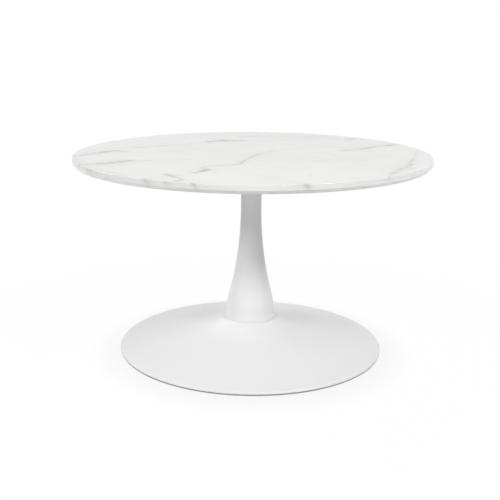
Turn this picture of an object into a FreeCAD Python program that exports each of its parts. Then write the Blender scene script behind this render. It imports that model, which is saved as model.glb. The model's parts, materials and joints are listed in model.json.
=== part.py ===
import FreeCAD, Part
import math
import os

# Round cocktail table: a marble-look top on a white trumpet pedestal.
# Millimetres, +Z up, origin on the floor under the middle of the table, front towards -Y.

# Tabletop: a board wrapped in marble-look laminate, with a sheet glued to its underside
table_height = 455.0
top_diameter = 800.0
top_thickness = 18.0
edge_height = 10.6  # upright band of the edge, the undercut bevel is below it
bevel_angle = 45.0  # degrees from upright
edge_round = 1.2
laminate_thickness = 0.8
sheet_thickness = 0.8

# Steel plate under the top, screwed up into threaded inserts
plate_diameter = 300.0
plate_thickness = 5.0
plate_round = 1.5
screw_circle = 240.0
screw_count = 8
screw_diameter = 6.0
screw_length = 16.0
screw_head_diameter = 10.5
screw_head_height = 3.3
screw_head_flat = 6.0
screw_head_bulge = 0.6
screw_key = 4.0  # hex socket across flats
screw_key_depth = 2.0
washer_diameter = 12.0
washer_thickness = 1.2
insert_diameter = 9.0
insert_length = 13.0
insert_spare_depth = 1.0

# Column: a spun trumpet, straight at the neck, flared on one arc and turned upright again at its foot
neck_diameter = 47.0
neck_length = 102.0
foot_diameter = 112.0
foot_bend = 227.0  # radius of the turn from the flare to the foot
foot_collar = 5.0  # upright part of the foot
column_wall = 2.0
socket_length = 40.0
socket_chamfer = 3.0
foot_ring_height = 8.0
gasket_thickness = 0.8
gasket_inset = 0.5

# Base cover: a spun dish with a flat crown, a hollow sweep, a cone and a rolled rim
base_diameter = 610.0
rim_gap = 3.0  # between the floor and the rim
crown_height = 69.2
crown_margin = 10.5  # flat crown beyond the column's foot
crown_bend = 5.0
crown_slope = 31.0  # degrees down from level, where the sweep starts
sweep_radius = 205.0
rim_bend = 4.5
rim_skirt = 1.0
cover_wall = 2.0

# Cast hub between the ballast plate and the crown
spigot_diameter = 80.0
spigot_height = 6.0  # above the gasket, inside the foot ring
hub_top_inset = 5.0  # from the edge of the flat crown
hub_top_thickness = 9.0
hub_web_thickness = 14.0
hub_body_diameter = 96.0
hub_cavity_diameter = 56.0
hub_flange_diameter = 176.0
hub_flange_thickness = 10.0
hub_screw_circle = 136.0
hub_screw_count = 4
hub_screw_diameter = 8.0
hub_screw_head_diameter = 16.0
hub_screw_key = 5.0
hub_screw_key_depth = 3.0
hub_screw_tip_cover = 1.0  # hub metal above the screw's tip

# Ballast plate that closes the base and carries the glides
ballast_gap = 8.0  # between the floor and the plate
ballast_thickness = 6.0
ballast_chamfer = 1.0
ballast_clearance = 8.0  # inside the cover, at the plate's top edge
cushion_width = 10.0
cushion_inset = 2.0

# Tie rod that pulls the top plate down onto the column and the hub
rod_diameter = 12.0
rod_top_gap = 4.0
rod_tail = 4.0
rod_washer_diameter = 37.0
rod_washer_thickness = 3.0
spring_washer_diameter = 21.0
spring_washer_thickness = 2.5
spring_washer_slit = 2.0
nut_across_flats = 18.0
nut_height = 10.0
nut_chamfer = 1.2

# Screw glides: a felt-soled nylon foot on a threaded stem
glide_inset = 30.0  # from the ballast plate's edge
stem_diameter = 8.0
stem_above_plate = 6.0  # the glide's travel: the thread stays in the plate when it is let out
stem_hex = 13.0
stem_hex_height = 3.0
stem_hex_chamfer = 0.6
stem_foot_diameter = 9.0
stem_foot_height = 1.8
pad_diameter = 30.0
pad_round = 1.2
felt_diameter = 27.0
felt_thickness = 1.5

# Clearances, all on the radius or along the axis
fit_clearance = 0.2  # pieces that slide together and are then clamped
thread_clearance = 0.1
hole_clearance = 0.4  # bolts through plain holes
swivel_clearance = 0.25  # between a glide's stem, its foot and the plate

# Levels
under_top = table_height - top_thickness
under_plate = under_top - plate_thickness
column_foot = crown_height + gasket_thickness
collar_level = column_foot + foot_collar
flare_level = under_plate - neck_length
under_crown = crown_height - cover_wall
ballast_top = ballast_gap + ballast_thickness
spigot_top = column_foot + spigot_height
web_level = under_crown - hub_web_thickness

# Radii and centres that several pieces share
top_radius = top_diameter / 2
bevel_level = table_height - edge_height
bevel_turn = math.radians(bevel_angle)
neck_radius = neck_diameter / 2
foot_radius = foot_diameter / 2
flare_drop = flare_level - collar_level
flare_run = foot_radius - neck_radius
flare_radius = (flare_drop ** 2 + flare_run ** 2) / (2 * flare_run) - foot_bend
flare_slope = 90 - 2 * math.degrees(math.atan2(flare_run, flare_drop))
flare_centre = (neck_radius + flare_radius, flare_level)
foot_centre = (foot_radius - foot_bend, collar_level)
crown_radius = foot_radius + crown_margin
spigot_hole = spigot_diameter / 2 + fit_clearance


def repeat_angles(count, first=0.0):
    return [first + 360.0 * index / count for index in range(count)]


def on_circle(radius, angle):
    turn = math.radians(angle)
    return FreeCAD.Vector(radius * math.cos(turn), radius * math.sin(turn), 0)


def copies(shape, places):
    moved = []
    for place in places:
        one = shape.copy()
        one.translate(place)
        moved.append(one)
    return Part.makeCompound(moved)


def turned(start, *steps):
    # A step is the (radius, height) end of a line, or a pair (middle, end) for an arc.
    here = FreeCAD.Vector(start[0], 0, start[1])
    first = here
    edges = []
    for step in steps:
        arc = isinstance(step[0], tuple)
        end = step[1] if arc else step
        there = FreeCAD.Vector(end[0], 0, end[1])
        if arc:
            middle = FreeCAD.Vector(step[0][0], 0, step[0][1])
            edges.append(Part.Arc(here, middle, there).toShape())
        else:
            edges.append(Part.makeLine(here, there))
        here = there
    edges.append(Part.makeLine(here, first))
    face = Part.Face(Part.Wire(edges))
    return face.revolve(FreeCAD.Vector(0, 0, 0), FreeCAD.Vector(0, 0, 1), 360)


def on_bend(centre, radius, slope):
    # Point of a bend where the sheet runs down at a slope in degrees; a hollow has a negative radius.
    turn = math.radians(slope)
    return (centre[0] + radius * math.sin(turn), centre[1] + radius * math.cos(turn))


def bend(centre, radius, slope, end_slope):
    return (on_bend(centre, radius, (slope + end_slope) / 2), on_bend(centre, radius, end_slope))


def rod(diameter, low, high, place=FreeCAD.Vector(0, 0, 0)):
    base = FreeCAD.Vector(place.x, place.y, low)
    return Part.makeCylinder(diameter / 2, high - low, base)


def ring(outer_diameter, inner_diameter, low, high):
    return rod(outer_diameter, low, high).cut(rod(inner_diameter, low, high))


def hexagon(across_flats, low, high):
    corner = across_flats / math.sqrt(3)
    points = []
    for angle in repeat_angles(6) + [0.0]:
        points.append(on_circle(corner, angle) + FreeCAD.Vector(0, 0, low))
    face = Part.Face(Part.makePolygon(points))
    return face.extrude(FreeCAD.Vector(0, 0, high - low))


def chamfered_hexagon(across_flats, low, high, chamfer):
    corner = across_flats / math.sqrt(3)
    shoulder = corner - 2 * chamfer
    barrel = turned(
        (0, low), (shoulder, low), (corner, low + chamfer),
        (corner, high - chamfer), (shoulder, high), (0, high))
    return hexagon(across_flats, low, high).common(barrel)


def bevel_radius(level, depth):
    # Radius of the undercut bevel at a level, set back square to its face by depth.
    drop = bevel_level - level
    return top_radius - drop * math.tan(bevel_turn) - depth / math.cos(bevel_turn)


def top_body(depth, low):
    # The tabletop's outline set back by depth on its face and edge, cut off at a level.
    face = table_height - depth
    edge = top_radius - depth
    round_centre = (top_radius - edge_round, table_height - edge_round)
    round_radius = edge_round - depth
    half = round_radius * math.sqrt(0.5)
    middle = (round_centre[0] + half, round_centre[1] + half)
    corner = bevel_level + depth * math.tan(bevel_turn / 2)
    return turned(
        (0, low), (0, face), (round_centre[0], face),
        (middle, (edge, round_centre[1])),
        (edge, corner), (bevel_radius(low, depth), low))


def top_screw_places():
    half_step = 180.0 / screw_count
    return [on_circle(screw_circle / 2, angle) for angle in repeat_angles(screw_count, half_step)]


def marble_laminate():
    return top_body(0, under_top).cut(top_body(laminate_thickness, under_top))


def insert_holes(low, room=0.0):
    high = under_top + insert_length + insert_spare_depth
    return copies(rod(insert_diameter + 2 * room, low, high), top_screw_places())


def tabletop_core():
    low = under_top + sheet_thickness
    return top_body(laminate_thickness, low).cut(insert_holes(low))


def underside_sheet():
    high = under_top + sheet_thickness
    disc = turned(
        (0, under_top), (bevel_radius(under_top, laminate_thickness), under_top),
        (bevel_radius(high, laminate_thickness), high), (0, high))
    return disc.cut(insert_holes(under_top, fit_clearance))


def threaded_inserts():
    bore = screw_diameter + 2 * thread_clearance
    one = ring(insert_diameter, bore, under_top, under_top + insert_length)
    return copies(one, top_screw_places())


def top_plate():
    radius = plate_diameter / 2
    half = plate_round * (1 - math.sqrt(0.5))
    disc = turned(
        (0, under_plate), (radius - plate_round, under_plate),
        ((radius - half, under_plate + half), (radius, under_plate + plate_round)),
        (radius, under_top), (0, under_top))
    hole = rod(screw_diameter + 2 * hole_clearance, under_plate, under_top)
    return disc.cut(copies(hole, top_screw_places()))


def plate_washers():
    hole = screw_diameter + 2 * hole_clearance
    one = ring(washer_diameter, hole, under_plate - washer_thickness, under_plate)
    return copies(one, top_screw_places())


def plate_screws():
    seat = under_plate - washer_thickness
    low = seat - screw_head_height
    radius = screw_head_diameter / 2
    flat = screw_head_flat / 2
    slant = math.hypot(screw_head_height, radius - flat)
    bulge = (
        (radius + flat) / 2 + screw_head_bulge * screw_head_height / slant,
        (seat + low) / 2 - screw_head_bulge * (radius - flat) / slant)
    head = turned((0, seat), (radius, seat), (bulge, (flat, low)), (0, low))
    shank = rod(screw_diameter, seat, seat + screw_length)
    key = hexagon(screw_key, low, low + screw_key_depth)
    return copies(head.fuse(shank).cut(key).removeSplitter(), top_screw_places())


def column_body(depth):
    # Everything inside the column's outside, set back square to it by depth.
    return turned(
        (0, column_foot), (0, under_plate), (neck_radius - depth, under_plate),
        (neck_radius - depth, flare_level),
        bend(flare_centre, -flare_radius - depth, 90, flare_slope),
        bend(foot_centre, foot_bend - depth, flare_slope, 90),
        (foot_radius - depth, column_foot))


def column():
    return column_body(0).cut(column_body(column_wall))


def column_socket():
    # Plug welded under the plate: it centres the neck and takes the tie rod's thread.
    radius = neck_radius - column_wall - fit_clearance
    low = under_plate - socket_length
    plug = turned(
        (0, low), (radius - socket_chamfer, low), (radius, low + socket_chamfer),
        (radius, under_plate), (0, under_plate))
    return plug.cut(rod(rod_diameter + 2 * thread_clearance, low, under_plate))


def column_foot_ring():
    band = rod(foot_diameter, column_foot, column_foot + foot_ring_height)
    body = column_body(column_wall + fit_clearance).common(band)
    return body.cut(rod(2 * spigot_hole, column_foot, column_foot + foot_ring_height))


def seam_gasket():
    return ring(foot_diameter - 2 * gasket_inset, 2 * spigot_hole, crown_height, column_foot)


# The cover's outline: the cone is the straight line that touches both the sweep and the rim's bend
crown_centre = (crown_radius, crown_height - crown_bend)
sweep_centre = on_bend(crown_centre, crown_bend + sweep_radius, crown_slope)
rim_centre = (base_diameter / 2 - rim_bend, rim_gap + rim_skirt)
centre_run = sweep_centre[0] - rim_centre[0]
centre_rise = sweep_centre[1] - rim_centre[1]
centre_apart = math.hypot(centre_run, centre_rise)
cone_turn = math.atan2(centre_run, centre_rise) + math.acos((sweep_radius + rim_bend) / centre_apart)
cone_slope = math.degrees(cone_turn)


def cover_body(depth):
    # Everything under the cover's outside, set back square to it by depth.
    return turned(
        (0, rim_gap), (0, crown_height - depth), (crown_radius, crown_height - depth),
        bend(crown_centre, crown_bend - depth, 0, crown_slope),
        bend(sweep_centre, -sweep_radius - depth, crown_slope, cone_slope),
        on_bend(rim_centre, rim_bend - depth, cone_slope),
        bend(rim_centre, rim_bend - depth, cone_slope, 90),
        (base_diameter / 2 - depth, rim_gap))


def cone_radius(level, depth):
    rim = on_bend(rim_centre, rim_bend - depth, cone_slope)
    return rim[0] - (level - rim[1]) / math.tan(cone_turn)


def base_cover():
    shell = cover_body(0).cut(cover_body(cover_wall))
    return shell.cut(rod(2 * spigot_hole, under_crown, crown_height))


ballast_radius = cone_radius(ballast_top, cover_wall) - ballast_clearance
glide_radius = ballast_radius - glide_inset
glide_angles = {"front_left": 225, "front_right": 315, "back_left": 135, "back_right": 45}


def hub_screw_places():
    return [on_circle(hub_screw_circle / 2, angle) for angle in repeat_angles(hub_screw_count)]


def hub_screw_tip():
    return ballast_top + hub_flange_thickness - hub_screw_tip_cover


def centre_hub():
    top = crown_radius - hub_top_inset
    body = hub_body_diameter / 2
    flange = hub_flange_diameter / 2
    flange_top = ballast_top + hub_flange_thickness
    top_low = under_crown - hub_top_thickness
    outside = turned(
        (0, ballast_top), (flange, ballast_top), (flange, flange_top), (body, flange_top),
        (body, top_low), (top, top_low), (top, under_crown), (spigot_diameter / 2, under_crown),
        (spigot_diameter / 2, spigot_top), (0, spigot_top))
    cavity = rod(hub_cavity_diameter, ballast_top, web_level)
    bore = rod(rod_diameter + 2 * hole_clearance, web_level, spigot_top)
    thread = rod(hub_screw_diameter + 2 * thread_clearance, ballast_top, hub_screw_tip())
    return outside.cut(cavity).cut(bore).cut(copies(thread, hub_screw_places()))


def countersunk(diameter, head_diameter, high):
    # Flat-headed form with a 90 degree head flush with the ballast plate's underside.
    radius = diameter / 2
    head = head_diameter / 2
    return turned(
        (0, ballast_gap), (head, ballast_gap), (radius, ballast_gap + head - radius),
        (radius, high), (0, high))


def hub_screws():
    screw = countersunk(hub_screw_diameter, hub_screw_head_diameter, hub_screw_tip())
    key = hexagon(hub_screw_key, ballast_gap, ballast_gap + hub_screw_key_depth)
    return copies(screw.cut(key), hub_screw_places())


def glide_places():
    return {name: on_circle(glide_radius, angle) for name, angle in glide_angles.items()}


def ballast_plate():
    edge = ballast_radius - ballast_chamfer
    disc = turned(
        (0, ballast_gap), (edge, ballast_gap), (ballast_radius, ballast_gap + ballast_chamfer),
        (ballast_radius, ballast_top - ballast_chamfer), (edge, ballast_top), (0, ballast_top))
    disc = disc.cut(rod(hub_cavity_diameter, ballast_gap, ballast_top))
    hole = countersunk(
        hub_screw_diameter + 2 * hole_clearance,
        hub_screw_head_diameter + 2 * hole_clearance, ballast_top)
    disc = disc.cut(copies(hole, hub_screw_places()))
    thread = rod(stem_diameter + 2 * thread_clearance, ballast_gap, ballast_top)
    return disc.cut(copies(thread, glide_places().values()))


def cover_cushion():
    # Soft ring on the plate's edge that the cover rests on.
    outer = 2 * (ballast_radius - ballast_chamfer - cushion_inset)
    band = ring(outer, outer - 2 * cushion_width, ballast_top, under_crown)
    return cover_body(cover_wall + fit_clearance).common(band)


def tie_rod():
    return rod(rod_diameter, nut_level() - rod_tail, under_plate - rod_top_gap)


def washer_level():
    return web_level - rod_washer_thickness


def spring_level():
    return washer_level() - spring_washer_thickness


def nut_level():
    return spring_level() - nut_height


def tie_rod_washer():
    return ring(rod_washer_diameter, rod_diameter + 2 * hole_clearance, washer_level(), web_level)


def tie_rod_spring_washer():
    hole = rod_diameter + 2 * fit_clearance
    coil = ring(spring_washer_diameter, hole, spring_level(), washer_level())
    corner = FreeCAD.Vector(0, -spring_washer_slit / 2, spring_level())
    slit = Part.makeBox(spring_washer_diameter, spring_washer_slit, spring_washer_thickness, corner)
    return coil.cut(slit)


def tie_rod_nut():
    nut = chamfered_hexagon(nut_across_flats, nut_level(), spring_level(), nut_chamfer)
    return nut.cut(rod(rod_diameter + 2 * thread_clearance, nut_level(), spring_level()))


# Levels inside a glide, from the plate down to the floor
hex_top = ballast_gap - swivel_clearance
hex_low = hex_top - stem_hex_height
pad_top = hex_low - swivel_clearance
stem_low = hex_low - stem_foot_height


def glide_stem(place):
    thread = rod(stem_diameter, hex_top, ballast_top + stem_above_plate)
    collar = chamfered_hexagon(stem_hex, hex_low, hex_top, stem_hex_chamfer)
    foot = rod(stem_foot_diameter, stem_low, hex_low)
    return copies(thread.fuse(collar).fuse(foot).removeSplitter(), [place]).Solids[0]


def glide_pad(place):
    radius = pad_diameter / 2
    half = pad_round * (1 - math.sqrt(0.5))
    body = turned(
        (0, felt_thickness), (radius, felt_thickness), (radius, pad_top - pad_round),
        ((radius - half, pad_top - half), (radius - pad_round, pad_top)), (0, pad_top))
    cup = rod(stem_foot_diameter + 2 * swivel_clearance, stem_low - swivel_clearance, pad_top)
    return copies(body.cut(cup), [place]).Solids[0]


def glide_felt(place):
    return rod(felt_diameter, 0, felt_thickness, place)


def pieces():
    made = {
        "marble_laminate": marble_laminate(),
        "tabletop_core": tabletop_core(),
        "underside_sheet": underside_sheet(),
        "threaded_inserts": threaded_inserts(),
        "top_plate": top_plate(),
        "plate_washers": plate_washers(),
        "plate_screws": plate_screws(),
        "column": column(),
        "column_socket": column_socket(),
        "column_foot_ring": column_foot_ring(),
        "seam_gasket": seam_gasket(),
        "base_cover": base_cover(),
        "centre_hub": centre_hub(),
        "hub_screws": hub_screws(),
        "ballast_plate": ballast_plate(),
        "cover_cushion": cover_cushion(),
        "tie_rod": tie_rod(),
        "tie_rod_washer": tie_rod_washer(),
        "tie_rod_spring_washer": tie_rod_spring_washer(),
        "tie_rod_nut": tie_rod_nut(),
    }
    for name, place in glide_places().items():
        made["glide_stem_" + name] = glide_stem(place)
        made["glide_pad_" + name] = glide_pad(place)
        made["glide_felt_" + name] = glide_felt(place)
    return made


os.makedirs("parts", exist_ok=True)
for name, shape in pieces().items():
    shape.exportStep("parts/" + name + ".step")
    state = "valid" if shape.isValid() else "NOT VALID"
    print(name, len(shape.Solids), "solids", round(shape.Volume), "mm3", state)
print("cone slope", round(cone_slope, 2), "degrees")
print("ballast plate radius", round(ballast_radius, 2), "glides at", round(glide_radius, 2))
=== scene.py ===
import json
import math

import bmesh
import bpy
from mathutils import Matrix, Vector


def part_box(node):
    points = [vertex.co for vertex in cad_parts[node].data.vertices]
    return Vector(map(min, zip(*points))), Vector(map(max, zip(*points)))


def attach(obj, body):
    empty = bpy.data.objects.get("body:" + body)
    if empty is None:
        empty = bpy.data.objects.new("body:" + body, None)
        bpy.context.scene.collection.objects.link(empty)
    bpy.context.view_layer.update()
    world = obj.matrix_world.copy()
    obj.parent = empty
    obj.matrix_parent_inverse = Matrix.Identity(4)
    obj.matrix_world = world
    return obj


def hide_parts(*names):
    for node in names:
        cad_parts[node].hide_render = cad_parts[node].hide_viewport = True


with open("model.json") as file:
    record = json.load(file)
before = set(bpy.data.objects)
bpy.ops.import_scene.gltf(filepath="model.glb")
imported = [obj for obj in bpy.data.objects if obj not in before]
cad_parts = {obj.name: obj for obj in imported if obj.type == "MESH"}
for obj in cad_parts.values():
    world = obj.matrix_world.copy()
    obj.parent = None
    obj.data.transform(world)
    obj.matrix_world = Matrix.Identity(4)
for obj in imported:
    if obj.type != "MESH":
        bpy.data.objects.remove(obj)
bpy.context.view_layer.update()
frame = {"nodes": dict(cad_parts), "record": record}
nodes = frame["nodes"]
scene = bpy.context.scene

# for every spun piece: metres within which points merge, degrees from which an edge stays sharp
spinLook = {"mergeWithin": 1e-6, "sharpAngle": 50}


# outlines are drawn in the XZ plane, x is the radius, then spun round the table's axis
def startOutline(radius, height):
    bm = bmesh.new()
    return bm, bm.verts.new((radius, 0, height))


def lineTo(bm, tip, radius, height):
    made = bmesh.ops.extrude_vert_indiv(bm, verts=[tip])
    tip = made["verts"][0]
    tip.co = (radius, 0, height)
    return tip


def bendBy(bm, tip, centre, degrees, steps):
    made = bmesh.ops.spin(
        bm, geom=[tip], cent=(centre[0], 0, centre[1]), axis=(0, 1, 0),
        angle=math.radians(degrees), steps=steps)
    return [part for part in made["geom_last"] if isinstance(part, bmesh.types.BMVert)][0]


def roundCorner(bm, corner, radius, segments):
    bmesh.ops.bevel(
        bm, geom=[corner], offset=radius, offset_type="OFFSET", affect="VERTICES",
        segments=segments, profile=0.5, material=-1)


def spunPiece(name, bm, steps):
    bmesh.ops.spin(
        bm, geom=bm.verts[:] + bm.edges[:], cent=(0, 0, 0), axis=(0, 0, 1),
        angle=math.tau, steps=steps, use_merge=True)
    bmesh.ops.remove_doubles(bm, verts=bm.verts[:], dist=spinLook["mergeWithin"])
    bmesh.ops.recalc_face_normals(bm, faces=bm.faces[:])
    for face in bm.faces:
        face.smooth = True
    mesh = bpy.data.meshes.new(name)
    bm.to_mesh(mesh)
    bm.free()
    mesh.set_sharp_from_angle(angle=math.radians(spinLook["sharpAngle"]))
    piece = bpy.data.objects.new(name, mesh)
    scene.collection.objects.link(piece)
    weighted = piece.modifiers.new("flat faces stay flat", "WEIGHTED_NORMAL")
    weighted.keep_sharp = True
    print("spun:", name, len(mesh.polygons), "faces")
    return piece


def standFor(piece, node, body, material):
    piece.data.materials.append(material)
    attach(piece, body)
    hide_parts(node)


# shader helpers: a value that is a socket is linked, any other is set
def feed(tree, socket, value):
    if isinstance(value, bpy.types.NodeSocket):
        tree.links.new(value, socket)
    else:
        socket.default_value = value


def put(tree, kind, inputs=None, **settings):
    node = tree.nodes.new(kind)
    for key, value in settings.items():
        setattr(node, key, value)
    for key, value in (inputs or {}).items():
        feed(tree, node.inputs[key], value)
    return node


def reckon(tree, operation, first, second=0.0, third=0.0):
    node = put(tree, "ShaderNodeMath", {0: first, 1: second, 2: third}, operation=operation)
    return node.outputs[0]


def reckonVector(tree, operation, first, second=(0, 0, 0), output="Vector"):
    node = put(tree, "ShaderNodeVectorMath", {0: first, 1: second}, operation=operation)
    return node.outputs[output]


def scaled(tree, vector, factor):
    node = put(tree, "ShaderNodeVectorMath", {0: vector, "Scale": factor}, operation="SCALE")
    return node.outputs["Vector"]


def mixColor(tree, factor, first, second):
    node = put(tree, "ShaderNodeMix", data_type="RGBA")
    sockets = {socket.identifier: socket for socket in node.inputs}
    feed(tree, sockets["Factor_Float"], factor)
    feed(tree, sockets["A_Color"], first)
    feed(tree, sockets["B_Color"], second)
    return next(socket for socket in node.outputs if socket.identifier == "Result_Color")


# a smooth step holds its ends by itself, so only a linear ramp has to be clamped
def ramp(tree, value, low, high, outLow=0.0, outHigh=1.0, kind="SMOOTHSTEP"):
    node = put(tree, "ShaderNodeMapRange", {
        "Value": value, "From Min": low, "From Max": high, "To Min": outLow, "To Max": outHigh},
        interpolation_type=kind, clamp=kind == "LINEAR")
    return node.outputs["Result"]


def noise(tree, vector, scale, detail=2.0, roughness=0.5, output="Fac"):
    node = put(tree, "ShaderNodeTexNoise", {
        "Vector": vector, "Scale": scale, "Detail": detail, "Roughness": roughness})
    return node.outputs[output]


def newGroup(name, inputs, outputs):
    group = bpy.data.node_groups.new(name, "ShaderNodeTree")
    for direction, sockets in (("INPUT", inputs), ("OUTPUT", outputs)):
        for label, kind in sockets.items():
            group.interface.new_socket(label, in_out=direction, socket_type="NodeSocket" + kind)
    entry = group.nodes.new("NodeGroupInput")
    leave = group.nodes.new("NodeGroupOutput")
    return group, entry.outputs, leave.inputs


def use(tree, group, inputs):
    return put(tree, "ShaderNodeGroup", inputs, node_tree=group).outputs


def newMaterial(name):
    material = bpy.data.materials.new(name)
    material.use_nodes = True
    tree = material.node_tree
    tree.nodes.clear()
    shader = tree.nodes.new("ShaderNodeBsdfPrincipled")
    output = tree.nodes.new("ShaderNodeOutputMaterial")
    tree.links.new(shader.outputs[0], output.inputs[0])
    place = put(tree, "ShaderNodeTexCoord").outputs["Object"]
    return material, tree, shader, place


def bumpInto(tree, shader, height, distance, strength):
    bump = put(tree, "ShaderNodeBump", {"Strength": strength, "Distance": distance, "Height": height})
    tree.links.new(bump.outputs[0], shader.inputs["Normal"])


# slow change of tone that every plain finish has
driftLook = {"detail": 3.0, "roughness": 0.55}


def makeToneDrift(look):
    group, given, result = newGroup(
        "tone drift",
        {"Vector": "Vector", "Color": "Color", "Scale": "Float", "Amount": "Float"},
        {"Color": "Color"})
    cloud = noise(group, given["Vector"], given["Scale"], look["detail"], look["roughness"])
    swing = reckon(group, "SUBTRACT", cloud, 0.5)
    gain = reckon(group, "MULTIPLY_ADD", swing, given["Amount"], 1.0)
    group.links.new(scaled(group, given["Color"], gain), result["Color"])
    return group


# orange peel, moulding grain and cast skin: two sizes of soft lumps as a height
lumpLook = {"broadDetail": 1.0, "fineDetail": 2.0, "fineRatio": 3.7, "maskFrom": (0.35, 0.65)}


def makeLumps(look):
    group, given, result = newGroup(
        "lumps",
        {"Vector": "Vector", "Scale": "Float", "Fine Share": "Float"},
        {"Height": "Float", "Mask": "Float"})
    broad = noise(group, given["Vector"], given["Scale"], look["broadDetail"])
    fineScale = reckon(group, "MULTIPLY", given["Scale"], look["fineRatio"])
    fine = noise(group, given["Vector"], fineScale, look["fineDetail"])
    height = reckon(group, "MULTIPLY_ADD", fine, given["Fine Share"], broad)
    group.links.new(height, result["Height"])
    group.links.new(ramp(group, broad, *look["maskFrom"]), result["Mask"])
    return group


# rings left by a lathe tool, round an upright axis
ringLook = {"detail": 1.0}


def makeLatheRings(look):
    group, given, result = newGroup(
        "lathe rings",
        {"Vector": "Vector", "Scale": "Float"},
        {"Height": "Float"})
    flat = reckonVector(group, "MULTIPLY", given["Vector"], (1, 1, 0))
    radius = reckonVector(group, "LENGTH", flat, output="Value")
    level = put(group, "ShaderNodeSeparateXYZ", {0: given["Vector"]}).outputs["Z"]
    track = put(group, "ShaderNodeCombineXYZ", {"X": radius, "Y": level}).outputs[0]
    group.links.new(noise(group, track, given["Scale"], look["detail"]), result["Height"])
    return group


# one vein: a soft line from start to end that thins out at both ends and breaks up
veinLook = {
    "lineShare": 0.75,  # strength of the line, the core in it and the glow round it
    "coreShare": 0.4,
    "glowShare": 0.22,
    "coreWidth": 0.35,  # of the line's width
    "glowWidth": 3.2,
    "taperLeft": 0.02,  # what is left at the ends
    "taperPower": 0.4}


def makeVein(look):
    group, given, result = newGroup(
        "vein",
        {"Vector": "Vector", "Break": "Float", "Start": "Vector", "End": "Vector", "Width": "Float",
         "Strength": "Float"},
        {"Mask": "Float"})
    way = reckonVector(group, "SUBTRACT", given["End"], given["Start"])
    here = reckonVector(group, "SUBTRACT", given["Vector"], given["Start"])
    length = reckonVector(group, "DOT_PRODUCT", way, way, "Value")
    along = reckonVector(group, "DOT_PRODUCT", here, way, "Value")
    # clamped by plain maths: a clamp option holds every vein's values at once and fills the shader's stack
    share = reckon(group, "MAXIMUM", reckon(group, "DIVIDE", along, length), 0.0)
    share = reckon(group, "MINIMUM", share, 1.0)
    off = reckonVector(group, "DISTANCE", here, scaled(group, way, share), "Value")
    rest = reckon(group, "SUBTRACT", 1.0, share)
    # four times share by rest is 1 at mid length
    taper = reckon(group, "MULTIPLY", reckon(group, "MULTIPLY", share, rest), 4.0)
    taper = reckon(group, "POWER", reckon(group, "ADD", taper, look["taperLeft"]), look["taperPower"])
    glowWidth = reckon(group, "MULTIPLY", given["Width"], look["glowWidth"])
    coreWidth = reckon(group, "MULTIPLY", given["Width"], look["coreWidth"])
    line = ramp(group, off, 0.0, given["Width"], look["lineShare"], 0.0)
    core = ramp(group, off, 0.0, coreWidth, look["coreShare"], 0.0)
    glow = ramp(group, off, 0.0, glowWidth, look["glowShare"], 0.0)
    mask = reckon(group, "ADD", reckon(group, "ADD", line, core), glow)
    mask = reckon(group, "MULTIPLY", mask, taper)
    mask = reckon(group, "MULTIPLY", mask, given["Break"])
    mask = reckon(group, "MINIMUM", reckon(group, "MULTIPLY", mask, given["Strength"]), 1.0)
    group.links.new(mask, result["Mask"])
    return group


toneDrift = makeToneDrift(driftLook)
lumps = makeLumps(lumpLook)
latheRings = makeLatheRings(ringLook)
vein = makeVein(veinLook)
print("shared effects:", len(bpy.data.node_groups))

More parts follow.
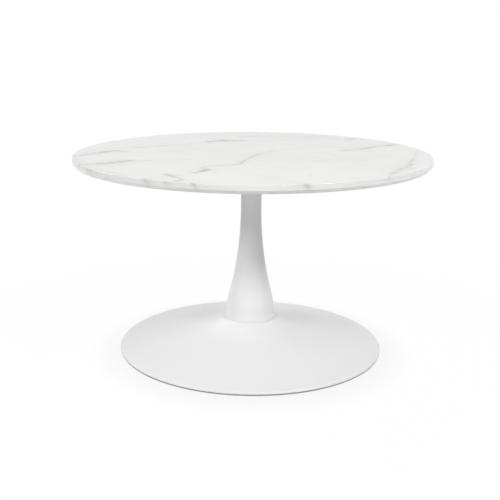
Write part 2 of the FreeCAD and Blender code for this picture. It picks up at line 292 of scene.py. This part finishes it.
# a noise is given by scale, detail and roughness, a "From" pair is the part of it that is used
marbleLook = {
    "white": (0.864, 0.862, 0.838, 1),
    "coolCloud": (0.817, 0.827, 0.8, 1),
    "coolNoise": (6.0, 4.0, 0.6),
    "coolFrom": (0.45, 0.72),
    "warmCloud": (0.835, 0.806, 0.785, 1),
    "warmNoise": (4.5, 3.0, 0.5),
    "warmShift": (3.1, 1.7, 0),
    "warmFrom": (0.5, 0.75),
    "veinGrey": (0.285, 0.28, 0.27, 1),
    "roughness": 0.3,
    "roughSwing": 0.05,
    "polishScale": 260.0,
    "polishFineShare": 0.3,
    "polishDepth": 0.00002,
    "polishBump": 0.15,
    "lean": 0.5,  # how far a vein leans as it goes down through the edge
    "edgeFade": 0.35,  # share of a vein that is left on the bevel
    "edgeFrom": (-0.011, -0.001),  # levels under the face between which it fades
    "hairShift": (1.3, 0.4, 0),  # which part of the noise the hair veins come from
    "hairNoise": (4.0, 3.0, 0.5),
    "hairWidth": 0.012,
    "hairStrength": 0.1,
    "patchNoise": (9.0, 2.0, 0.5),  # where hair veins show
    "patchFrom": (0.5, 0.68),
    "breakNoise": (40.0, 3.0, 0.6),  # where a vein is weaker
    "breakFrom": (0.32, 0.6),
    "breakShare": (0.5, 1.0),
    "wander": ((7.0, 0.018), (45.0, 0.007), (150.0, 0.004)),  # scale and reach
    "wanderDetail": 3.0,
    "wanderRoughness": 0.6,
    # start x, y, end x, y, width and strength of each vein, in metres
    "veins": [
        (-0.398, -0.063, -0.351, -0.020, 0.016, 0.40), (-0.358, -0.026, -0.308, 0.036, 0.017, 0.58),
        (-0.318, 0.030, -0.278, 0.002, 0.013, 0.55), (-0.397, -0.042, -0.291, 0.007, 0.040, 0.14),
        (-0.364, -0.181, -0.320, -0.163, 0.020, 0.44), (-0.328, -0.167, -0.293, -0.154, 0.020, 0.52),
        (-0.302, -0.160, -0.267, -0.126, 0.020, 0.72), (-0.273, -0.132, -0.252, -0.114, 0.016, 0.54),
        (-0.256, -0.116, -0.215, -0.117, 0.010, 0.34), (-0.356, -0.204, -0.265, -0.159, 0.038, 0.14),
        (-0.347, -0.202, -0.318, -0.249, 0.013, 0.32), (-0.324, -0.239, -0.296, -0.283, 0.014, 0.26),
        (-0.206, -0.338, -0.186, -0.380, 0.012, 0.36), (-0.164, -0.366, -0.148, -0.402, 0.012, 0.56),
        (-0.112, -0.378, -0.098, -0.404, 0.008, 0.62), (-0.287, -0.268, -0.266, -0.288, 0.007, 0.40),
        (-0.165, -0.289, -0.140, -0.328, 0.012, 0.66), (-0.145, -0.324, -0.126, -0.353, 0.009, 0.44),
        (-0.130, -0.351, -0.145, -0.371, 0.009, 0.40), (-0.120, -0.274, -0.099, -0.254, 0.010, 0.48),
        (-0.106, -0.260, -0.085, -0.219, 0.014, 0.74), (-0.089, -0.223, -0.105, -0.201, 0.009, 0.42),
        (-0.087, -0.184, -0.045, -0.167, 0.009, 0.38), (-0.049, -0.170, -0.023, -0.153, 0.010, 0.46),
        (-0.027, -0.157, -0.013, -0.092, 0.008, 0.54), (-0.015, -0.097, 0.027, 0.009, 0.008, 0.40),
        (-0.114, 0.184, -0.090, 0.211, 0.014, 0.56), (-0.096, 0.207, -0.056, 0.224, 0.016, 0.78),
        (-0.062, 0.223, -0.007, 0.212, 0.014, 0.60), (-0.275, 0.072, -0.235, 0.108, 0.010, 0.30),
        (-0.241, 0.105, -0.179, 0.132, 0.010, 0.28), (0.203, 0.050, 0.247, 0.074, 0.012, 0.42),
        (0.241, 0.071, 0.302, 0.136, 0.012, 0.52), (0.296, 0.131, 0.359, 0.168, 0.013, 0.60),
        (0.205, 0.068, 0.222, 0.054, 0.009, 0.34), (0.271, -0.273, 0.301, -0.202, 0.011, 0.42),
        (0.297, -0.210, 0.319, -0.180, 0.013, 0.46), (0.313, -0.186, 0.335, -0.133, 0.013, 0.46),
        (0.315, -0.184, 0.336, -0.198, 0.008, 0.42), (0.332, -0.133, 0.356, -0.040, 0.010, 0.36),
        (0.074, -0.403, 0.094, -0.393, 0.008, 0.48), (0.090, -0.396, 0.112, -0.380, 0.010, 0.48),
        (0.239, 0.250, 0.270, 0.282, 0.014, 0.46), (0.005, -0.288, 0.025, -0.292, 0.008, 0.20),
        (0.245, -0.316, 0.273, -0.298, 0.012, 0.15), (-0.040, 0.301, 0.060, 0.318, 0.012, 0.20),
        (0.120, -0.110, 0.175, -0.089, 0.008, 0.14), (-0.398, -0.060, -0.345, -0.205, 0.026, 0.15),
        (-0.350, -0.195, -0.225, -0.332, 0.026, 0.12), (0.280, -0.260, 0.352, -0.050, 0.045, 0.09),
        (0.200, 0.060, 0.350, 0.170, 0.045, 0.09), (-0.120, -0.270, -0.030, -0.160, 0.035, 0.07),
        (-0.120, 0.190, 0.000, 0.220, 0.045, 0.09), (-0.310, 0.060, -0.170, 0.140, 0.040, 0.06),
        # faint runs that join them
        (-0.186, 0.130, -0.108, 0.190, 0.009, 0.20), (-0.222, -0.117, -0.120, -0.092, 0.008, 0.13),
        (-0.284, 0.004, -0.205, -0.020, 0.008, 0.16), (-0.106, -0.203, -0.084, -0.183, 0.008, 0.30),
        (0.025, 0.006, 0.066, 0.064, 0.007, 0.20), (0.062, 0.060, 0.128, 0.098, 0.007, 0.13),
        (0.207, 0.052, 0.120, 0.012, 0.008, 0.14), (0.355, -0.045, 0.378, 0.060, 0.008, 0.18),
        (0.272, -0.270, 0.258, -0.310, 0.008, 0.22), (0.055, 0.318, 0.170, 0.305, 0.009, 0.13),
        (0.165, 0.307, 0.243, 0.252, 0.009, 0.14), (-0.010, 0.213, 0.075, 0.172, 0.008, 0.14),
        (0.070, 0.175, 0.122, 0.100, 0.007, 0.10),
    ],
}


def makeMarble(look):
    material, tree, shader, place = newMaterial("marble laminate")
    spot = put(tree, "ShaderNodeSeparateXYZ", {0: place}).outputs
    depth = reckon(tree, "SUBTRACT", spot["Z"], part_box("marble_laminate")[1].z)
    across = reckon(tree, "MULTIPLY_ADD", depth, look["lean"], spot["X"])
    flat = put(tree, "ShaderNodeCombineXYZ", {"X": across, "Y": spot["Y"]}).outputs[0]
    bent = flat
    for scale, reach in look["wander"]:
        wander = noise(tree, flat, scale, look["wanderDetail"], look["wanderRoughness"], "Color")
        shift = reckonVector(tree, "SUBTRACT", wander, (0.5, 0.5, 0.5))
        shift = reckonVector(tree, "MULTIPLY", shift, (reach, reach, 0))
        bent = reckonVector(tree, "ADD", bent, shift)
    breakUp = ramp(tree, noise(tree, flat, *look["breakNoise"]), *look["breakFrom"], *look["breakShare"])
    veins = 0.0
    for startX, startY, endX, endY, width, strength in look["veins"]:
        mask = use(tree, vein, {
            "Vector": bent, "Break": breakUp, "Start": (startX, startY, 0), "End": (endX, endY, 0),
            "Width": width, "Strength": strength})["Mask"]
        veins = reckon(tree, "MAXIMUM", mask, veins)
    veins = reckon(tree, "MULTIPLY", veins, ramp(tree, depth, *look["edgeFrom"], look["edgeFade"], 1.0))
    # hair veins in patches all over, hardly there
    moved = reckonVector(tree, "ADD", bent, look["hairShift"])
    ridge = reckon(tree, "SUBTRACT", noise(tree, moved, *look["hairNoise"]), 0.5)
    hair = ramp(tree, reckon(tree, "ABSOLUTE", ridge), 0.0, look["hairWidth"], 1.0, 0.0)
    patch = ramp(tree, noise(tree, flat, *look["patchNoise"]), *look["patchFrom"])
    hair = reckon(tree, "MULTIPLY", reckon(tree, "MULTIPLY", hair, patch), look["hairStrength"])
    cool = ramp(tree, noise(tree, flat, *look["coolNoise"]), *look["coolFrom"])
    beside = reckonVector(tree, "ADD", flat, look["warmShift"])
    warm = ramp(tree, noise(tree, beside, *look["warmNoise"]), *look["warmFrom"])
    color = mixColor(tree, cool, look["white"], look["coolCloud"])
    color = mixColor(tree, warm, color, look["warmCloud"])
    color = mixColor(tree, reckon(tree, "MAXIMUM", veins, hair), color, look["veinGrey"])
    tree.links.new(color, shader.inputs["Base Color"])
    polish = use(tree, lumps, {
        "Vector": place, "Scale": look["polishScale"], "Fine Share": look["polishFineShare"]})
    rough = reckon(tree, "MULTIPLY_ADD", polish["Mask"], look["roughSwing"], look["roughness"])
    tree.links.new(rough, shader.inputs["Roughness"])
    bumpInto(tree, shader, polish["Height"], look["polishDepth"], look["polishBump"])
    return material


def makeFinish(name, look):
    material, tree, shader, place = newMaterial(name)
    tone = use(tree, toneDrift, {
        "Vector": place, "Color": look["color"], "Scale": look["driftScale"], "Amount": look["drift"]})
    color = tone["Color"]
    skin = use(tree, lumps, {"Vector": place, "Scale": look["lumpScale"], "Fine Share": look["fineShare"]})
    # painted light: the colour is lightened towards the bottom, between two heights
    if "paintedFootLight" in look:
        low, high, gain = look["paintedFootLight"]
        level = put(tree, "ShaderNodeSeparateXYZ", {0: place}).outputs["Z"]
        color = scaled(tree, color, ramp(tree, level, low, high, gain, 1.0))
    tree.links.new(color, shader.inputs["Base Color"])
    rough = reckon(tree, "MULTIPLY_ADD", skin["Mask"], look["roughSwing"], look["roughness"])
    tree.links.new(rough, shader.inputs["Roughness"])
    shader.inputs["Metallic"].default_value = look.get("metallic", 0.0)
    height = skin["Height"]
    if "rings" in look:
        tool = use(tree, latheRings, {"Vector": place, "Scale": look["rings"]})["Height"]
        height = reckon(tree, "ADD", height, tool)
    bumpInto(tree, shader, height, look["lumpDepth"], look["bump"])
    return material


finishLooks = {
    "white_powder_coat": {
        "color": (0.855, 0.855, 0.855, 1), "driftScale": 5.0, "drift": 0.012, "lumpScale": 520.0,
        "fineShare": 0.3, "lumpDepth": 0.00005, "bump": 0.12, "roughness": 0.4, "roughSwing": 0.06},
    "white_sheet": {
        "color": (0.80, 0.80, 0.79, 1), "driftScale": 9.0, "drift": 0.02, "lumpScale": 900.0,
        "fineShare": 0.6, "lumpDepth": 0.00005, "bump": 0.25, "roughness": 0.58, "roughSwing": 0.08},
    "fibreboard": {
        "color": (0.50, 0.37, 0.24, 1), "driftScale": 60.0, "drift": 0.35, "lumpScale": 1400.0,
        "fineShare": 0.8, "lumpDepth": 0.0002, "bump": 0.6, "roughness": 0.8, "roughSwing": 0.1},
    "zinc_steel": {
        "color": (0.66, 0.67, 0.68, 1), "driftScale": 90.0, "drift": 0.16, "lumpScale": 1600.0,
        "fineShare": 0.4, "lumpDepth": 0.00004, "bump": 0.3, "roughness": 0.3, "roughSwing": 0.14,
        "metallic": 1.0},
    "brass": {
        "color": (0.78, 0.58, 0.27, 1), "driftScale": 120.0, "drift": 0.14, "lumpScale": 1500.0,
        "fineShare": 0.4, "lumpDepth": 0.00004, "bump": 0.3, "roughness": 0.28, "roughSwing": 0.1,
        "metallic": 1.0},
    "black_iron": {
        "color": (0.032, 0.032, 0.034, 1), "driftScale": 25.0, "drift": 0.3, "lumpScale": 260.0,
        "fineShare": 0.7, "lumpDepth": 0.0004, "bump": 0.55, "roughness": 0.5, "roughSwing": 0.16,
        "rings": 650.0},
    "black_rubber": {
        "color": (0.024, 0.024, 0.025, 1), "driftScale": 70.0, "drift": 0.3, "lumpScale": 1100.0,
        "fineShare": 0.9, "lumpDepth": 0.0003, "bump": 0.7, "roughness": 0.8, "roughSwing": 0.1},
    "white_nylon": {
        "color": (0.9, 0.9, 0.89, 1), "driftScale": 40.0, "drift": 0.04, "lumpScale": 1200.0,
        "fineShare": 0.5, "lumpDepth": 0.00008, "bump": 0.3, "roughness": 0.5, "roughSwing": 0.1},
    "black_nylon": {
        "color": (0.022, 0.022, 0.024, 1), "driftScale": 60.0, "drift": 0.2, "lumpScale": 1300.0,
        "fineShare": 0.6, "lumpDepth": 0.0001, "bump": 0.4, "roughness": 0.45, "roughSwing": 0.12},
    "grey_felt": {
        "color": (0.23, 0.23, 0.235, 1), "driftScale": 180.0, "drift": 0.5, "lumpScale": 1700.0,
        "fineShare": 1.2, "lumpDepth": 0.0006, "bump": 0.9, "roughness": 0.92, "roughSwing": 0.05},
}

finishes = {slot: makeFinish(slot.replace("_", " "), look) for slot, look in finishLooks.items()}
finishes["marble_laminate"] = makeMarble(marbleLook)
for entry in frame["record"]["subparts"]:
    mesh = nodes[entry["node"]].data
    mesh.materials.clear()
    mesh.materials.append(finishes[entry["material_slot"]])
print("finishes:", len(finishes))


def outerRadius(node):
    low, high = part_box(node)
    return max(-low.x, -low.y, high.x, high.y)


# tabletop skin: flat face, upright band and undercut bevel at 45 degrees
topLook = {
    "radius": 0.4, "band": 0.0106, "bevelRun": 0.0074, "skin": 0.0008, "faceRings": 10,
    "edgeRound": 0.0012, "edgeSteps": 5, "bevelRound": 0.0006, "bevelSteps": 3,
    "lipRound": 0.0003, "lipSteps": 2, "segments": 256}


def makeTopSkin(look):
    low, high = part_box("marble_laminate")
    radius = min(look["radius"], outerRadius("marble_laminate"))
    band = high.z - look["band"]
    inset = radius - look["bevelRun"]
    skin = look["skin"]
    bevelTurn = math.radians(45)
    bm, tip = startOutline(0, high.z)
    for ring in range(1, look["faceRings"]):
        tip = lineTo(bm, tip, radius * ring / look["faceRings"], high.z)
    edge = tip = lineTo(bm, tip, radius, high.z)
    corner = tip = lineTo(bm, tip, radius, band)
    lip = tip = lineTo(bm, tip, inset, low.z)
    # and back along the inside, one skin in
    tip = lineTo(bm, tip, inset - skin / math.cos(bevelTurn), low.z)
    tip = lineTo(bm, tip, radius - skin, band + skin * math.tan(bevelTurn / 2))
    tip = lineTo(bm, tip, radius - skin, high.z - skin)
    tip = lineTo(bm, tip, 0, high.z - skin)
    roundCorner(bm, edge, look["edgeRound"], look["edgeSteps"])
    roundCorner(bm, corner, look["bevelRound"], look["bevelSteps"])
    roundCorner(bm, lip, look["lipRound"], look["lipSteps"])
    return spunPiece("marble_top", bm, look["segments"])


# column: straight neck, one long flare that turns upright again, a softened foot
columnLook = {
    "neckRadius": 0.0235, "neckLength": 0.102, "footRadius": 0.056, "footBend": 0.227, "footCollar": 0.005,
    "wall": 0.002, "footRound": 0.0003, "roundSteps": 3, "flareSteps": 36, "footSteps": 16, "segments": 128,
    # painted light round the foot: the heights above the foot between which it fades, and how much lighter
    "paintedLightFrom": 0.006, "paintedLightTo": 0.024, "paintedLightGain": 1.05}


def makeColumn(look):
    low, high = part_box("column")
    flareLevel = high.z - look["neckLength"]
    collar = low.z + look["footCollar"]
    drop = flareLevel - collar
    run = look["footRadius"] - look["neckRadius"]
    flare = (drop ** 2 + run ** 2) / (2 * run) - look["footBend"]
    turn = math.degrees(2 * math.atan2(run, drop))
    flareCentre = (look["neckRadius"] + flare, flareLevel)
    footCentre = (look["footRadius"] - look["footBend"], collar)
    innerFoot = look["footRadius"] - look["wall"]
    # down the outside
    bm, tip = startOutline(look["neckRadius"], high.z)
    first = tip
    tip = lineTo(bm, tip, look["neckRadius"], flareLevel)
    tip = bendBy(bm, tip, flareCentre, -turn, look["flareSteps"])
    tip = bendBy(bm, tip, footCentre, turn, look["footSteps"])
    foot = tip = lineTo(bm, tip, look["footRadius"], low.z)
    # and up the inside, one wall in
    tip = lineTo(bm, tip, innerFoot, low.z)
    tip = lineTo(bm, tip, innerFoot, collar)
    tip = bendBy(bm, tip, footCentre, -turn, look["footSteps"])
    tip = bendBy(bm, tip, flareCentre, turn, look["flareSteps"])
    tip = lineTo(bm, tip, look["neckRadius"] - look["wall"], high.z)
    bm.edges.new((tip, first))
    roundCorner(bm, foot, look["footRound"], look["roundSteps"])
    return spunPiece("white_column", bm, look["segments"])


# painted light: the column's colour is made up to 5 % lighter round its foot, standing in for light the
# foot does not get
def makeColumnCoatWithPaintedLight(look):
    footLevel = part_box("column")[0].z
    paintedFootLight = (footLevel + look["paintedLightFrom"], footLevel + look["paintedLightTo"], look["paintedLightGain"])
    return makeFinish("column coat with painted light", {**finishLooks["white_powder_coat"], "paintedFootLight": paintedFootLight})


# base cover: flat crown, bend, hollow sweep, cone and rolled rim
coverLook = {
    "radius": 0.305, "crownRadius": 0.0665, "crownHole": 0.0402, "crownBend": 0.005, "crownSlope": 31.0,
    "sweep": 0.205, "rimBend": 0.0045, "rimSkirt": 0.001, "wall": 0.002, "rimRound": 0.0006,
    "roundSteps": 3, "crownSteps": 8, "sweepSteps": 20, "rimSteps": 10, "segments": 256}


def makeCover(look):
    low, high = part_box("base_cover")
    crown = (look["crownRadius"], high.z - look["crownBend"])
    slope = math.radians(look["crownSlope"])
    reach = look["crownBend"] + look["sweep"]
    sweep = (crown[0] + reach * math.sin(slope), crown[1] + reach * math.cos(slope))
    rim = (look["radius"] - look["rimBend"], low.z + look["rimSkirt"])
    apart = Vector(sweep) - Vector(rim)
    cone = math.atan2(apart.x, apart.y) + math.acos((look["sweep"] + look["rimBend"]) / apart.length)
    # where the cone ends: outside at the rim's bend, inside at the sweep
    coneLow = (rim[0] + look["rimBend"] * math.sin(cone), rim[1] + look["rimBend"] * math.cos(cone))
    innerSweep = look["sweep"] + look["wall"]
    coneHigh = (sweep[0] - innerSweep * math.sin(cone), sweep[1] - innerSweep * math.cos(cone))
    crownTurn = look["crownSlope"]
    sweepTurn = math.degrees(cone) - crownTurn
    rimTurn = 90 - math.degrees(cone)
    # outside, from the crown's hole out to the rim
    bm, tip = startOutline(look["crownHole"], high.z)
    first = tip
    tip = lineTo(bm, tip, crown[0], high.z)
    tip = bendBy(bm, tip, crown, crownTurn, look["crownSteps"])
    tip = bendBy(bm, tip, sweep, sweepTurn, look["sweepSteps"])
    tip = lineTo(bm, tip, *coneLow)
    tip = bendBy(bm, tip, rim, rimTurn, look["rimSteps"])
    rimEdge = tip = lineTo(bm, tip, look["radius"], low.z)
    # and back along the inside, one wall in
    tip = lineTo(bm, tip, look["radius"] - look["wall"], low.z)
    tip = lineTo(bm, tip, look["radius"] - look["wall"], rim[1])
    tip = bendBy(bm, tip, rim, -rimTurn, look["rimSteps"])
    tip = lineTo(bm, tip, *coneHigh)
    tip = bendBy(bm, tip, sweep, -sweepTurn, look["sweepSteps"])
    tip = bendBy(bm, tip, crown, -crownTurn, look["crownSteps"])
    tip = lineTo(bm, tip, look["crownHole"], high.z - look["wall"])
    bm.edges.new((tip, first))
    roundCorner(bm, rimEdge, look["rimRound"], look["roundSteps"])
    return spunPiece("white_base_cover", bm, look["segments"])


columnCoatWithPaintedLight = makeColumnCoatWithPaintedLight(columnLook)
standFor(makeTopSkin(topLook), "marble_laminate", "table", finishes["marble_laminate"])
standFor(makeColumn(columnLook), "column", "table", columnCoatWithPaintedLight)
standFor(makeCover(coverLook), "base_cover", "table", finishes["white_powder_coat"])

# camera, fitted to the outlines of the top, its edge, the column and the rim in the photo
cameraLook = {
    "place": (0.0, -1.9555, 0.7384), "down": 14.584, "turn": 1.767, "roll": 0.165, "lens": 62.71,
    "sensor": 36.0, "shift": 0.0505, "clipEnd": 60.0}


def makeCamera(look):
    data = bpy.data.cameras.new("camera")
    data.sensor_width = look["sensor"]
    data.lens = look["lens"]
    data.shift_x = look["shift"]
    data.clip_end = look["clipEnd"]
    camera = bpy.data.objects.new("camera", data)
    scene.collection.objects.link(camera)
    camera.matrix_world = (
        Matrix.Translation(look["place"])
        @ Matrix.Rotation(math.radians(look["turn"]), 4, "Z")
        @ Matrix.Rotation(math.radians(90 - look["down"]), 4, "X")
        @ Matrix.Rotation(math.radians(look["roll"]), 4, "Z"))
    scene.camera = camera
    print("camera:", look["lens"], "mm lens")


makeCamera(cameraLook)

# studio: white floor and sky, soft boxes at both front corners and weaker ones behind
studioLook = {
    "floorSize": 30.0, "floorColor": (0.82, 0.82, 0.82, 1), "seenColor": (1, 1, 1, 1),
    "gapReach": 0.25, "gapFrom": (0.15, 0.55), "gapShade": 0.25,
    "paintedShadowCentre": (0.005, -0.02, 0), "paintedShadowInside": 0.04, "paintedShadowOutside": 0.075, "paintedShadowLevel": 0.905,
    "shadowShare": 0.03, "shadowReach": (0.5, 1.1),
    "skyColor": (1, 1, 1, 1), "sky": 0.02, "seenSky": 1.0,
    "aim": (0, 0, 0.25),
    # place, width, depth and watts of each lamp
    "lamps": {
        "left front box": ((-2.2, -2.2, 2.05), 1.6, 1.2, 47.0),
        "left box": ((-2.93, -1.37, 1.83), 1.2, 0.6, 12.8),
        "right front box": ((2.2, -2.2, 2.05), 1.6, 1.2, 22.7),
        "right front strip": ((2.06, -2.06, 2.37), 1.6, 0.6, 39.8),
        "right high box": ((1.46, -1.46, 3.2), 1.6, 1.2, 12.7),
        "right back box": ((2.42, 1.69, 2.32), 1.6, 1.2, 9.6),
        "left back box": ((-2.42, 1.69, 2.32), 1.6, 1.2, 30.8),
        "back box": ((0.0, 1.8, 3.37), 2.4, 1.0, 18.0),
    },
}


# rays that show the white background
def seenRay(tree):
    path = put(tree, "ShaderNodeLightPath").outputs
    mirrored = reckon(tree, "MAXIMUM", path["Is Glossy Ray"], path["Is Transmission Ray"])
    return reckon(tree, "MAXIMUM", path["Is Camera Ray"], mirrored)


def makeFloor(look):
    bm = bmesh.new()
    bmesh.ops.create_grid(bm, x_segments=1, y_segments=1, size=look["floorSize"] / 2)
    mesh = bpy.data.meshes.new("floor")
    bm.to_mesh(mesh)
    bm.free()
    floor = bpy.data.objects.new("floor", mesh)
    scene.collection.objects.link(floor)
    material = bpy.data.materials.new("floor")
    material.use_nodes = True
    tree = material.node_tree
    tree.nodes.clear()
    # seen as white paper, with a painted shadow round the rim, painted shade in the gap under it and a
    # share of the lamps' real shadow
    place = put(tree, "ShaderNodeTexCoord").outputs["Object"]
    # painted shadow: the floor is darker in a ring round the rim, centred a little off the axis
    pool = reckonVector(tree, "DISTANCE", place, look["paintedShadowCentre"], "Value")
    rim = outerRadius("base_cover")
    paintedShadow = ramp(
        tree, pool, rim - look["paintedShadowInside"], rim + look["paintedShadowOutside"], look["paintedShadowLevel"], 1.0, "LINEAR")
    # painted shade under the rim, from ambient occlusion
    closeness = put(tree, "ShaderNodeAmbientOcclusion", {"Distance": look["gapReach"]}).outputs["AO"]
    paintedGapShade = ramp(tree, closeness, *look["gapFrom"], look["gapShade"], 1.0)
    shade = reckon(tree, "MULTIPLY", paintedShadow, paintedGapShade)
    white = put(tree, "ShaderNodeEmission", {"Color": look["seenColor"], "Strength": shade})
    lit = put(tree, "ShaderNodeBsdfDiffuse", {"Color": look["seenColor"]})
    away = reckonVector(tree, "LENGTH", place, output="Value")
    near = ramp(tree, away, *look["shadowReach"], look["shadowShare"], 0.0)
    seen = put(tree, "ShaderNodeMixShader", {0: near, 1: white.outputs[0], 2: lit.outputs[0]})
    # other rays meet a plain matt floor
    paper = put(tree, "ShaderNodeBsdfDiffuse", {"Color": look["floorColor"]})
    mix = put(tree, "ShaderNodeMixShader", {0: seenRay(tree), 1: paper.outputs[0], 2: seen.outputs[0]})
    output = put(tree, "ShaderNodeOutputMaterial")
    tree.links.new(mix.outputs[0], output.inputs[0])
    mesh.materials.append(material)


def makeSky(look):
    world = bpy.data.worlds.new("studio")
    scene.world = world
    world.use_nodes = True
    tree = world.node_tree
    tree.nodes.clear()
    strength = ramp(tree, seenRay(tree), 0.0, 1.0, look["sky"], look["seenSky"], "LINEAR")
    sky = put(tree, "ShaderNodeBackground", {"Color": look["skyColor"], "Strength": strength})
    output = put(tree, "ShaderNodeOutputWorld")
    tree.links.new(sky.outputs[0], output.inputs[0])


def makeLamps(look):
    for name, (place, width, depth, watts) in look["lamps"].items():
        data = bpy.data.lights.new(name, "AREA")
        data.shape = "RECTANGLE"
        data.size = width
        data.size_y = depth
        data.energy = watts
        lamp = bpy.data.objects.new(name, data)
        scene.collection.objects.link(lamp)
        lamp.location = place
        way = Vector(look["aim"]) - Vector(place)
        lamp.rotation_euler = way.to_track_quat("-Z", "Y").to_euler()


makeFloor(studioLook)
makeSky(studioLook)
makeLamps(studioLook)
scene.view_settings.view_transform = "Standard"
print("studio: floor, sky and", len(studioLook["lamps"]), "lamps")
